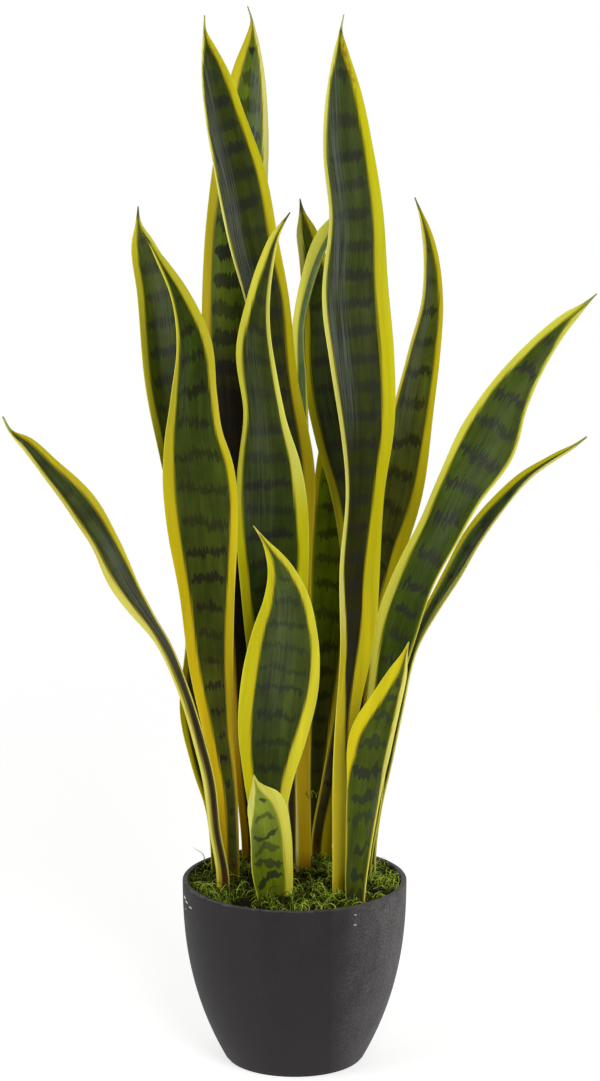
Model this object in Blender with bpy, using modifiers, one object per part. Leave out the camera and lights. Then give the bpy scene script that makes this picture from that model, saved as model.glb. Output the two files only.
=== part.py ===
"""A variegated snake plant in a round charcoal pot.

The pot holds a fill of potting soil under a bed of moss, and sixteen strap leaves stand in slots
in both. Metres, +Z up. The origin is the middle of the pot's flat underside. The plant's front
faces -Y, and +X is to the right.
"""

import math
import random

import bmesh
import bpy
import numpy as np
from mathutils import Matrix, Vector

MM = 0.001

# Each material is a linear colour and a roughness
CHARCOAL_PLASTIC = (0.036, 0.033, 0.034), 0.75
POTTING_MIX = (0.035, 0.022, 0.014), 0.95
GREEN_MOSS = (0.10, 0.20, 0.02), 0.95
LEAF_GREEN = (0.07, 0.12, 0.03), 0.42
SHARP_EDGE = 40

# The pot is turned, with a bowl-shaped side
POT_HEIGHT = 137 * MM
RIM_RADIUS = 82.5 * MM
FOOT_RADIUS = 50.5 * MM
SIDE_FULLNESS = 2.4
WALL = 4 * MM
FLOOR = 8 * MM
RIM_ROUNDING = 1 * MM
FOOT_ROUNDING = 1.5 * MM
SPOKES = 56

# What fills the pot
FIT = 0.3 * MM
SOIL_TOP = 122 * MM
MOSS_EDGE = 129 * MM
MOSS_CROWN = 136 * MM
MOSS_RINGS = 15
TUFTS = 80
TUFT_HEIGHT = (1.0 * MM, 3.0 * MM)
TUFT_RADIUS = (5 * MM, 9 * MM)
SIDE_HEIGHTS = (20 * MM, 36 * MM, 55 * MM, 76 * MM, 99 * MM, SOIL_TOP)

# What every leaf shares
BLADE_THICKNESS = 2.0 * MM
LEAF_FOOT = 98 * MM
SLOT_FIT = 0.5 * MM
SLOT_TOP = 150 * MM
ROW_LENGTH = 26 * MM
STRIPS = 4
BASE_CUP = 0.16
BASE_LENGTH = 100 * MM
WAVE_LENGTH = 165 * MM
WAVE_OFFSET = 2.0
FULL_WIDTH = 40 * MM

# Each leaf is a list of stations from where it leaves the moss up to its tip. A station is its
# height, its place to the right, its place to the back and the width of the blade, in
# millimetres, and how far the blade is turned about its own length, in degrees. A positive turn
# takes the right edge to the back. The cup is how deep the blade's hollow is, as a share of its
# width, and the wave is how far its edges ripple, in millimetres.
LEAVES = {
    "leaf_tall_leaning": {
        "cup": 0.13, "wave": 2.0, "phase": 0.5,
        "stations": (
            (139, 4, 15, 16, 10), (223, 2, 16, 20, 18), (305, 0, 18, 25, 26),
            (373, -1, 21, 33, 30), (432, -3, 23, 40, 31), (495, -12, 22, 38, 32),
            (560, -19, 20, 38, 34), (605, -29, 18, 40, 36), (654, -38, 16, 42, 36),
            (695, -49, 12, 33, 30), (726, -56, 8, 22, 25), (748, -61, 5, 9, 20),
            (758, -63, 3, 3.5, 20), (769, -63, 0, 1.6, 20),
        ),
    },
    "leaf_tall_back": {
        "cup": -0.10, "wave": 2.0, "phase": 2.2,
        "stations": (
            (142, -31, 46, 17, 5), (213, -35, 49, 21, 0), (289, -37, 53, 26, -5),
            (379, -38, 58, 37, -8), (453, -41, 63, 43, -10), (543, -46, 70, 45, -12),
            (603, -44, 75, 45, -14), (646, -40, 79, 42, -16), (690, -36, 83, 35, -16),
            (725, -33, 86, 23, -16), (747, -31, 88, 9, -16), (758, -31, 89, 3, -16),
            (768, -34, 90, 1.6, -16),
        ),
    },
    "leaf_tall_right": {
        "cup": 0.13, "wave": 2.0, "phase": 3.6,
        "stations": (
            (136, 35, -36, 18, 35), (185, 35, -35, 18, 35), (255, 37, -32, 20, 36),
            (324, 45, -27, 33, 40), (373, 47, -23, 38, 45), (425, 51, -18, 39, 42),
            (475, 52, -13, 45, 28), (528, 48, -7, 49, 22), (568, 44, -2, 51, 20),
            (627, 44, 5, 42, 18), (673, 38, 10, 37, 18), (715, 35, 14, 25, 18),
            (747, 33, 17, 8.5, 18), (757, 33, 18, 3, 18), (768, 35, 19, 1.6, 18),
        ),
    },
    "leaf_centre": {
        "cup": 0.12, "wave": 2.0, "phase": 1.2,
        "stations": (
            (140, -17, 4, 15, 5), (218, -15, 2, 21, 5), (272, -14, 0, 32, 5),
            (332, -14, -3, 46, 8), (400, -16, -5, 53, 6), (448, -18, -8, 48, -14),
            (486, -22, -11, 38, -38), (533, -28, -15, 34, -43), (563, -26, -19, 25, -45),
            (596, -20, -24, 16, -45), (618, -13, -27, 8, -45), (634, -3, -30, 1.6, -45),
        ),
    },
    "leaf_left": {
        "cup": 0.12, "wave": 2.0, "phase": 4.0,
        "stations": (
            (143, -49, -3, 17, 0), (198, -50, -4, 17, -5), (246, -55, -6, 23, -12),
            (294, -60, -9, 32, -16), (351, -63, -12, 43, -18), (394, -66, -14, 52, -15),
            (447, -69, -17, 51, 0), (470, -72, -18, 44, 15), (500, -72, -21, 38, 32),
            (538, -71, -24, 32, 46), (576, -81, -28, 18, 50), (602, -95, -31, 8, 50),
            (620, -106, -34, 1.6, 50),
        ),
    },
    "leaf_left_back": {
        "cup": 0.12, "wave": 2.5, "phase": 0.0,
        "stations": (
            (140, -55, 20, 14, 15), (187, -58, 21, 18, 20), (219, -64, 22, 27, 22),
            (254, -69, 25, 33, 20), (310, -65, 30, 31, 20), (376, -71, 36, 34, 22),
            (445, -81, 44, 37, 25), (507, -93, 54, 37, 25), (566, -101, 64, 32, 22),
            (598, -111, 70, 17, 18), (614, -114, 74, 5, 15), (624, -114, 76, 1.6, 15),
        ),
    },
    "leaf_arching_left": {
        "cup": 0.16, "wave": 1.0, "phase": 1.0,
        "stations": (
            (141, -52, -28, 10, -20), (183, -58, -30, 11, -40), (220, -62, -32, 12, -40),
            (251, -69, -35, 13, -42), (289, -80, -38, 14, -45), (326, -95, -42, 17, -45),
            (348, -109, -46, 23, -42), (367, -120, -48, 24, -30), (402, -135, -50, 20, 10),
            (431, -152, -52, 24, 42), (455, -172, -54, 18, 46), (473, -188, -55, 12, 45),
            (483, -200, -56, 4, 45), (493, -205, -56, 1.6, 45),
        ),
    },
    "leaf_short_front": {
        "cup": 0.12, "wave": 1.5, "phase": 2.8,
        "stations": (
            (141, -18, -20, 17, 0), (180, -19, -22, 23, 0), (219, -19, -25, 36, 0),
            (253, -16, -28, 50, 0), (296, -10, -32, 56, 0), (330, -7, -36, 48, 3),
            (358, -6, -40, 33, 6), (379, -10, -43, 19, 8), (401, -21, -47, 5, 8),
            (413, -29, -50, 1.6, 8),
        ),
    },
    "leaf_smallest": {
        "cup": 0.17, "wave": 0.8, "phase": 0.0,
        "stations": (
            (135, -14, -46, 27, 22), (162, -16, -50, 33, 26), (186, -17, -54, 33, 28),
            (206, -20, -58, 31, 28), (218, -25, -60, 24, 28), (227, -28, -61, 9, 28),
            (233, -29, -62, 1.6, 28),
        ),
    },
    "leaf_short_right": {
        "cup": 0.13, "wave": 1.2, "phase": 1.5,
        "stations": (
            (137, 44, -50, 15, -20), (174, 46, -53, 20, -28), (220, 50, -57, 29, -34),
            (256, 54, -61, 37, -34), (290, 66, -66, 24, -34), (314, 75, -70, 13, -34),
            (334, 81, -73, 1.6, -34),
        ),
    },
    "leaf_centre_back": {
        "cup": 0.12, "wave": 1.8, "phase": 5.0,
        "stations": (
            (141, 39, 26, 13, 0), (218, 43, 29, 17, 6), (293, 46, 34, 22, 6),
            (367, 48, 40, 27, 6), (418, 41, 50, 30, 6), (453, 32, 63, 33, 5),
            (503, 23, 73, 34, 5), (548, 21, 79, 31, 5), (586, 13, 83, 20, 5),
            (607, 8, 85, 14, 5), (621, 5, 87, 5, 5), (628, 4, 88, 1.6, 5),
        ),
    },
    "leaf_edge_on": {
        "cup": 0.12, "wave": 1.2, "phase": 3.0,
        "stations": (
            (140, 3, 38, 12, -30), (216, 2, 41, 14, -30), (293, 2, 45, 18, -32),
            (368, 2, 49, 21, -34), (436, 2, 51, 22, -42), (502, 3, 50, 23, -62),
            (543, 3, 48, 23, -68), (570, 8, 46, 24, -68), (601, 18, 43, 22, -66),
            (616, 26, 41, 14, -62), (628, 32, 40, 1.6, -60),
        ),
    },
    "leaf_right_back": {
        "cup": 0.12, "wave": 2.0, "phase": 2.0,
        "stations": (
            (144, 20, 44, 16, 10), (194, 28, 47, 18, 15), (251, 40, 51, 21, 18),
            (303, 52, 56, 26, 18), (364, 65, 60, 32, 20), (415, 77, 64, 37, 20),
            (466, 86, 67, 36, 25), (517, 95, 71, 31, 35), (556, 101, 77, 22, 48),
            (599, 98, 84, 12, 50), (619, 92, 87, 5, 50), (629, 88, 88, 1.6, 50),
        ),
    },
    "leaf_inner_back": {
        "cup": 0.12, "wave": 1.5, "phase": 0.8,
        "stations": (
            (138, 18, 60, 15, 0), (209, 19, 64, 18, 5), (270, 23, 68, 24, 5),
            (330, 26.5, 72, 31, 5), (390, 30, 77, 34.5, 5), (431, 30, 81, 28, 5),
            (460, 29, 84, 15, 5), (482, 29, 86, 1.6, 5),
        ),
    },
    "leaf_leaning_right": {
        "cup": 0.12, "wave": 2.0, "phase": 1.8,
        "stations": (
            (143, 50, 4, 14, -20), (188, 54, 4, 19, -22), (234, 59, 3, 22, -24),
            (280, 65, 1, 26, -26), (324, 73, -2, 33, -28), (363, 86, -5, 32, -28),
            (400, 104, -8, 34, -28), (433, 119, -12, 38, -26), (466, 137, -16, 44, -24),
            (498, 151, -20, 33, -24), (531, 171, -25, 21, -24), (557, 192, -30, 11, -24),
            (569, 205, -33, 5, -24), (577, 213, -35, 1.6, -24),
        ),
    },
    "leaf_arching_right": {
        "cup": 0.14, "wave": 1.0, "phase": 4.4,
        "stations": (
            (140, 55, 23, 12, -30), (184, 59, 22, 14, -40), (220, 67, 22, 16, -55),
            (259, 75, 22, 16, -62), (309, 87, 22, 16, -64), (338, 102, 23, 18, -60),
            (361, 115, 24, 22, -58), (387, 129, 26, 22, -56), (412, 148, 29, 19, -58),
            (433, 169, 33, 14, -60), (445, 188, 36, 9, -60), (454, 204, 38, 5, -55),
            (460, 213, 40, 1.6, -55),
        ),
    },
}


# Scene and materials


def clear_scene():
    for old in list(bpy.data.objects):
        bpy.data.objects.remove(old, do_unlink=True)


def new_collection(name):
    collection = bpy.data.collections.new(name)
    bpy.context.scene.collection.children.link(collection)
    return collection


def new_object(name, mesh, collection):
    obj = bpy.data.objects.new(name, mesh)
    collection.objects.link(obj)
    return obj


def finish(obj, colour, roughness):
    """Gives a piece its own material and smooth sides with sharp edges kept."""
    material = bpy.data.materials.new(obj.name)
    material.use_nodes = True
    surface = material.node_tree.nodes["Principled BSDF"]
    surface.inputs["Base Color"].default_value = (*colour, 1)
    surface.inputs["Roughness"].default_value = roughness
    surface.inputs["Metallic"].default_value = 0
    obj.data.materials.append(material)
    obj.data.shade_smooth()
    obj.data.set_sharp_from_angle(angle=math.radians(SHARP_EDGE))


def turned(name, profile, collection):
    """A solid of revolution from (radius, height) points that run down its outer side."""
    mesh = bpy.data.meshes.new(name)
    points = [(radius, 0, height) for radius, height in profile]
    edges = [(i, i + 1) for i in range(len(points) - 1)]
    mesh.from_pydata(points, edges, [])
    obj = new_object(name, mesh, collection)
    screw = obj.modifiers.new("turn", "SCREW")
    screw.steps = screw.render_steps = SPOKES
    screw.use_merge_vertices = True
    screw.merge_threshold = 0.01 * MM
    screw.use_smooth_shade = True
    return obj


def cut(obj, cutter):
    """Cuts the cutter out of the piece, and sets it aside from the render."""
    boolean = obj.modifiers.new("slots", "BOOLEAN")
    boolean.operation = "DIFFERENCE"
    boolean.solver = "EXACT"
    boolean.object = cutter


# Pot and soil


def side_radius(height):
    """The pot's outer radius: it swells fast above the foot and stands nearly upright at the rim."""
    rise = 1 - height / POT_HEIGHT
    return FOOT_RADIUS + (RIM_RADIUS - FOOT_RADIUS) * (1 - rise**SIDE_FULLNESS)


def inner_wall(fit):
    """(radius, height) down the pot's inside, from the soil's top to its floor, fit inside it."""
    wall = [(side_radius(height) - WALL - fit, height) for height in reversed(SIDE_HEIGHTS)]
    floor = FLOOR + fit
    return wall + [(side_radius(FLOOR) - WALL - fit, floor), (0, floor)]


def make_pot(collection):
    lip = RIM_RADIUS - WALL
    rim_side = POT_HEIGHT - RIM_ROUNDING
    inside = list(reversed(inner_wall(0)))
    rim = [
        (lip, rim_side),
        (lip + RIM_ROUNDING, POT_HEIGHT),
        (RIM_RADIUS - RIM_ROUNDING, POT_HEIGHT),
        (RIM_RADIUS, rim_side),
    ]
    outside = [(side_radius(height), height) for height in reversed((FLOOR, *SIDE_HEIGHTS))]
    foot = [
        (side_radius(FOOT_ROUNDING), FOOT_ROUNDING),
        (FOOT_RADIUS - FOOT_ROUNDING, 0),
        (0, 0),
    ]
    pot = turned("pot", inside + rim + outside + foot, collection)
    finish(pot, *CHARCOAL_PLASTIC)


def make_soil(collection, slots):
    soil = turned("soil", [(0, SOIL_TOP), *inner_wall(FIT)], collection)
    cut(soil, slots)
    finish(soil, *POTTING_MIX)


# Moss


def moss_tufts():
    """(x, y, height, radius) of the low tufts that the bed is made of."""
    draw = random.Random(11)
    reach = RIM_RADIUS - WALL
    tufts = []
    for _ in range(TUFTS):
        out = reach * math.sqrt(draw.random())
        angle = draw.uniform(0, math.tau)
        size = draw.uniform(*TUFT_HEIGHT), draw.uniform(*TUFT_RADIUS)
        tufts.append((out * math.cos(angle), out * math.sin(angle), *size))
    return tufts


def moss_height(x, y, reach, tufts):
    """The bed's surface: a low crown, raised by the highest tuft there, and level at the wall."""
    out = min(1, math.hypot(x, y) / reach)
    crown = MOSS_EDGE + (MOSS_CROWN - MOSS_EDGE) * (1 - out**2)
    raised = max(h * math.exp(-((x - u) ** 2 + (y - v) ** 2) / r**2) for u, v, h, r in tufts)
    return crown + raised * (1 - out**6)


def make_moss(collection, slots):
    """A tufted bed on the soil, built as rings of points round its middle."""
    reach = side_radius(SOIL_TOP) - WALL - FIT
    tufts = moss_tufts()
    bm = bmesh.new()
    rings = []
    for i in range(1, MOSS_RINGS + 1):
        radius = reach * i / MOSS_RINGS
        places = [
            (radius * math.cos(math.tau * j / SPOKES), radius * math.sin(math.tau * j / SPOKES))
            for j in range(SPOKES)
        ]
        rings.append([bm.verts.new((x, y, moss_height(x, y, reach, tufts))) for x, y in places])
    middle = bm.verts.new((0, 0, moss_height(0, 0, reach, tufts)))
    underside = [bm.verts.new((v.co.x, v.co.y, SOIL_TOP + FIT)) for v in rings[-1]]
    for j in range(SPOKES):
        k = (j + 1) % SPOKES
        bm.faces.new((middle, rings[0][j], rings[0][k]))
        for low, high in zip(rings, rings[1:]):
            bm.faces.new((low[j], high[j], high[k], low[k]))
        bm.faces.new((rings[-1][j], underside[j], underside[k], rings[-1][k]))
    bm.faces.new(reversed(underside))
    bmesh.ops.triangulate(bm, faces=bm.faces)
    mesh = bpy.data.meshes.new("moss")
    bm.to_mesh(mesh)
    bm.free()
    moss = new_object("moss", mesh, collection)
    cut(moss, slots)
    finish(moss, *GREEN_MOSS)


# Leaves


def blade_rows(stations):
    """Rows of x, y, z, width and turn, read from a smooth curve through the stations."""
    knots = np.array([(x, y, z, width, 0) for z, x, y, width, turn in stations]) * MM
    knots[:, 4] = [math.radians(station[4]) for station in stations]
    gaps = np.linalg.norm(np.diff(knots[:, :3], axis=0), axis=1)
    along = np.concatenate([[0], np.cumsum(gaps)])
    slopes = np.gradient(knots, along, axis=0)
    slopes[0, :3] = (0, 0, 1)
    rows, places = [], []
    for i, gap in enumerate(gaps):
        steps = math.ceil(gap / ROW_LENGTH)
        for t in np.arange(steps) / steps:
            rise, fall = t * t * (3 - 2 * t), t * t * (t - 1)
            swing = t * (1 - t) ** 2
            row = knots[i] + rise * (knots[i + 1] - knots[i])
            rows.append(row + gap * (swing * slopes[i] + fall * slopes[i + 1]))
            places.append(along[i] + t * gap)
    rows.append(knots[-1])
    places.append(along[-1])
    return np.array(rows), np.array(places)


def smooth_step(value):
    value = min(1, max(0, value))
    return value * value * (3 - 2 * value)


def blade_frame(tangent, turn):
    """The blade's directions across it, to its right edge, and out of its front face."""
    tangent = Vector(tangent).normalized()
    right = Vector((1, 0, 0))
    right = (right - right.dot(tangent) * tangent).normalized()
    back = tangent.cross(right)
    across = math.cos(turn) * right + math.sin(turn) * back
    return across, across.cross(tangent)


def row_points(row, tangent, place, leaf):
    """Points across the blade: the edges stand forward of its middle, and ripple."""
    centre, width = Vector(row[:3]), row[3]
    across, front = blade_frame(tangent, row[4])
    cup = BASE_CUP + (leaf["cup"] - BASE_CUP) * smooth_step(place / BASE_LENGTH)
    wave = leaf["wave"] * MM * min(1, width / FULL_WIDTH) * smooth_step(place / BASE_LENGTH)
    points = []
    for i in range(STRIPS + 1):
        side = 2 * i / STRIPS - 1
        swing = math.sin(math.tau * place / WAVE_LENGTH + leaf["phase"] + WAVE_OFFSET * side)
        depth = cup * width * (side**2 - 1) + wave * abs(side) ** 3 * swing
        points.append(centre + across * (side * width / 2) + front * depth)
    return points


def make_leaf(name, leaf, collection):
    """A blade on a straight foot that goes down into its slot, as an open surface made solid."""
    rows, places = blade_rows(leaf["stations"])
    tangents = np.gradient(rows[:, :3], places, axis=0)
    tangents[0] = (0, 0, 1)
    grid = [row_points(*values, leaf) for values in zip(rows, tangents, places)]
    foot = [Vector((p.x, p.y, LEAF_FOOT)) for p in grid[0]]
    bm = bmesh.new()
    verts = [[bm.verts.new(point) for point in line] for line in (foot, *grid)]
    for low, high in zip(verts, verts[1:]):
        for i in range(STRIPS):
            a, b, c, d = low[i], low[i + 1], high[i + 1], high[i]
            # The diagonals mirror each other about the middle of the blade.
            corners = ((a, b, c), (a, c, d)) if i < STRIPS / 2 else ((a, b, d), (b, c, d))
            for corner in corners:
                bm.faces.new(corner)
    mesh = bpy.data.meshes.new(name)
    bm.to_mesh(mesh)
    bm.free()
    obj = new_object(name, mesh, collection)
    solid = obj.modifiers.new("thickness", "SOLIDIFY")
    solid.thickness = BLADE_THICKNESS
    solid.offset = 0
    finish(obj, *LEAF_GREEN)


def make_slots(collection):
    """One plain upright slot a leaf, a little larger than its foot, through the moss into the soil."""
    bm = bmesh.new()
    for leaf in LEAVES.values():
        height, x, y, width, turn = leaf["stations"][0]
        width *= MM
        across, front = blade_frame((0, 0, 1), math.radians(turn))
        hollow = BASE_CUP * width
        bottom = LEAF_FOOT - FIT
        middle = Vector((x * MM, y * MM, (SLOT_TOP + bottom) / 2)) - front * hollow / 2
        size = (
            width + BLADE_THICKNESS + 2 * SLOT_FIT,
            hollow + BLADE_THICKNESS + 2 * SLOT_FIT,
            SLOT_TOP - bottom,
        )
        place = Matrix.Translation(middle) @ Matrix.Rotation(math.radians(turn), 4, "Z")
        bmesh.ops.create_cube(bm, size=1, matrix=place @ Matrix.Diagonal((*size, 1)))
    mesh = bpy.data.meshes.new("leaf_slots")
    bm.to_mesh(mesh)
    bm.free()
    slots = new_object("leaf_slots", mesh, collection)
    slots.hide_render = True
    slots.display_type = "WIRE"
    return slots


clear_scene()
plant = new_collection("snake_plant")
cutters = new_collection("cutters")
leaf_slots = make_slots(cutters)
make_pot(plant)
make_soil(plant, leaf_slots)
make_moss(plant, leaf_slots)
for leaf_name, leaf_form in LEAVES.items():
    make_leaf(leaf_name, leaf_form, plant)
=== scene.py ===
"""The looks of a potted variegated snake plant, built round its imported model. Metres, +Z up."""

import math
import random

import bpy
import numpy as np
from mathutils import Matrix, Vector, noise


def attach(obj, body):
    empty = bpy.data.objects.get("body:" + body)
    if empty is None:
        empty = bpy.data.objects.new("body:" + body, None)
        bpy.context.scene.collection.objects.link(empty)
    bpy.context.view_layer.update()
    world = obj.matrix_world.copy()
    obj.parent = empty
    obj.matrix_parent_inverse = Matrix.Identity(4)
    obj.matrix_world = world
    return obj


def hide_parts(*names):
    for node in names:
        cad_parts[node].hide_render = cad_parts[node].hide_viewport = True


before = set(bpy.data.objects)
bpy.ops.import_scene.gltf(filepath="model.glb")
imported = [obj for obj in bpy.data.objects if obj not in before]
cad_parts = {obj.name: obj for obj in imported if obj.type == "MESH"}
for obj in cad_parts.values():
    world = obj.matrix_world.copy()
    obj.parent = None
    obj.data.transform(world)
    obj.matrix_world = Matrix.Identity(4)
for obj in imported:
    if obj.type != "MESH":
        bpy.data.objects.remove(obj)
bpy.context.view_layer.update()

# The pot
#
# A charcoal planter of moulded plastic with a dry, stone-like finish, in one piece from its narrow
# foot to a plain lip. It stands on the foot and carries everything else.

MM = 0.001
POT_HEIGHT = 137 * MM
RIM_RADIUS = 82.5 * MM
FOOT_RADIUS = 50.5 * MM
SIDE_FULLNESS = 2.4
WALL = 4 * MM
POT_FLOOR = 8 * MM
LIP_ROUNDING = 1.1 * MM
FOOT_ROUNDING = 1.5 * MM
ROUNDING_STEPS = 4
POT_STEPS = 168
SIDE_STEPS = 26
# The heights of the outer side's points that lie lower than the inner floor
LOW_SIDE = (6 * MM, 4 * MM, 2.5 * MM)


def side_radius(height):
    """The pot's outer radius: it swells fast above the foot and stands nearly upright at the lip."""
    drop = 1 - height / POT_HEIGHT
    return FOOT_RADIUS + (RIM_RADIUS - FOOT_RADIUS) * (1 - drop**SIDE_FULLNESS)


def quarter(centre_radius, centre_height, rounding, start):
    """Points on a quarter circle, clockwise from the start angle in degrees."""
    angles = [math.radians(start - 90 * i / ROUNDING_STEPS) for i in range(ROUNDING_STEPS + 1)]
    return [
        (centre_radius + rounding * math.cos(a), centre_height + rounding * math.sin(a))
        for a in angles
    ]


def pot_profile():
    """The pot's outline: up its inner side, over the lip, and down to the middle of its foot."""
    lip = POT_HEIGHT - LIP_ROUNDING
    heights = [POT_FLOOR + (lip - POT_FLOOR) * i / SIDE_STEPS for i in range(SIDE_STEPS)]
    inside = [(0, POT_FLOOR)] + [(side_radius(h) - WALL, h) for h in heights]
    lip_inside = quarter(RIM_RADIUS - WALL + LIP_ROUNDING, lip, LIP_ROUNDING, 180)
    lip_outside = quarter(RIM_RADIUS - LIP_ROUNDING, lip, LIP_ROUNDING, 90)
    outside = [(side_radius(h), h) for h in (*reversed(heights), *LOW_SIDE)]
    foot = quarter(FOOT_RADIUS - FOOT_ROUNDING, FOOT_ROUNDING, FOOT_ROUNDING, 0)
    return inside + lip_inside + lip_outside + outside + foot + [(0, 0)]


def new_piece(name, vertices, faces, material):
    """A smooth mesh object in the scene."""
    mesh = bpy.data.meshes.new(name)
    mesh.from_pydata(vertices, [], faces)
    mesh.materials.append(material)
    mesh.shade_smooth()
    piece = bpy.data.objects.new(name, mesh)
    bpy.context.scene.collection.objects.link(piece)
    return piece


def turned_piece(name, profile, steps, material):
    """Turns a profile of (radius, height) points round the upright axis."""
    vertices, rings = [], []
    for radius, height in profile:
        count = steps if radius > 0 else 1
        rings.append(range(len(vertices), len(vertices) + count))
        for i in range(count):
            angle = math.tau * i / steps
            vertices.append((radius * math.cos(angle), radius * math.sin(angle), height))
    faces = []
    for low, high in zip(rings, rings[1:]):
        for i in range(steps):
            k = (i + 1) % steps
            corners = [low[i % len(low)], low[k % len(low)], high[k % len(high)], high[i % len(high)]]
            faces.append(list(dict.fromkeys(reversed(corners))))
    return new_piece(name, vertices, faces, material)


def colour(text):
    """An sRGB hex value as the linear colour that a shader takes."""
    parts = [int(text[i : i + 2], 16) / 255 for i in (1, 3, 5)]
    return (*[p / 12.92 if p <= 0.04045 else ((p + 0.055) / 1.055) ** 2.4 for p in parts], 1)


def feed(tree, made, inputs):
    """Sets a node's inputs. Each is a value, another node's output, or a node for its first one."""
    for name, value in inputs.items():
        if isinstance(value, bpy.types.Node):
            value = next(output for output in value.outputs if output.enabled)
        if isinstance(value, bpy.types.NodeSocket):
            tree.links.new(value, made.inputs[name])
        else:
            made.inputs[name].default_value = value


def node(tree, kind, inputs=None, stops=(), **settings):
    """Adds a node with its inputs and settings, and a ramp's stops as places and colours."""
    made = tree.nodes.new("ShaderNode" + kind)
    for name, value in settings.items():
        setattr(made, name, value)
    for i, (share, text) in enumerate(stops):
        elements = made.color_ramp.elements
        stop = elements[i] if i < 2 else elements.new(share)
        stop.position = share
        stop.color = colour(text)
    feed(tree, made, inputs or {})
    return made


def new_material(name, **shader):
    """A material with a Principled shader set to the given values, and its node tree."""
    material = bpy.data.materials.new(name)
    material.use_nodes = True
    surface = material.node_tree.nodes["Principled BSDF"]
    for socket, value in shader.items():
        surface.inputs[socket.replace("_", " ")].default_value = value
    return material, material.node_tree, surface


CHARCOAL = "#1C1619"
CHARCOAL_DARK = "#130E10"
DUST_AND_LIGHT = "#8C8788"
LIP_GREY = "#565252"
SCUFF = "#D2CFC9"
# The plastic's clouds, drawn upright by the mould, and its grit
CLOUD_WIDTH = 26.32 * MM
CLOUD_HEIGHT = 45.45 * MM
CLOUD_DEPTH = 0.5 * MM
GRIT_WIDTH = 1.25 * MM
GRIT_DEPTH = 0.15 * MM
# The dust and the painted light of the right side begin this far right of the middle
LIT_SIDE_START = 25 * MM
# A lighter grey band over the lip wavers by this swing, and with it grows between these heights over
# the lip
LIP_BAND_WAVE = 5.556 * MM
LIP_BAND_SWING = 3 * MM
LIP_BAND_HEIGHTS = (0.6 * MM, 1.7 * MM)
SCUFF_GRAIN = 1.613 * MM
SCUFF_FLATNESS = 4
# The middles of the scuffs on the outer face in millimetres, and how far each reaches sideways
SCUFFS = (
    ((-80.4, -18.0, 127.5), 6.5), ((-78.9, -23.6, 125.5), 5.5), ((-76.0, -31.6, 124.0), 4.5),
    ((-79.6, -20.5, 119.5), 2.4), ((43.9, -69.9, 130.7), 2.2), ((43.9, -69.8, 123.1), 2.4),
)


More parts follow.
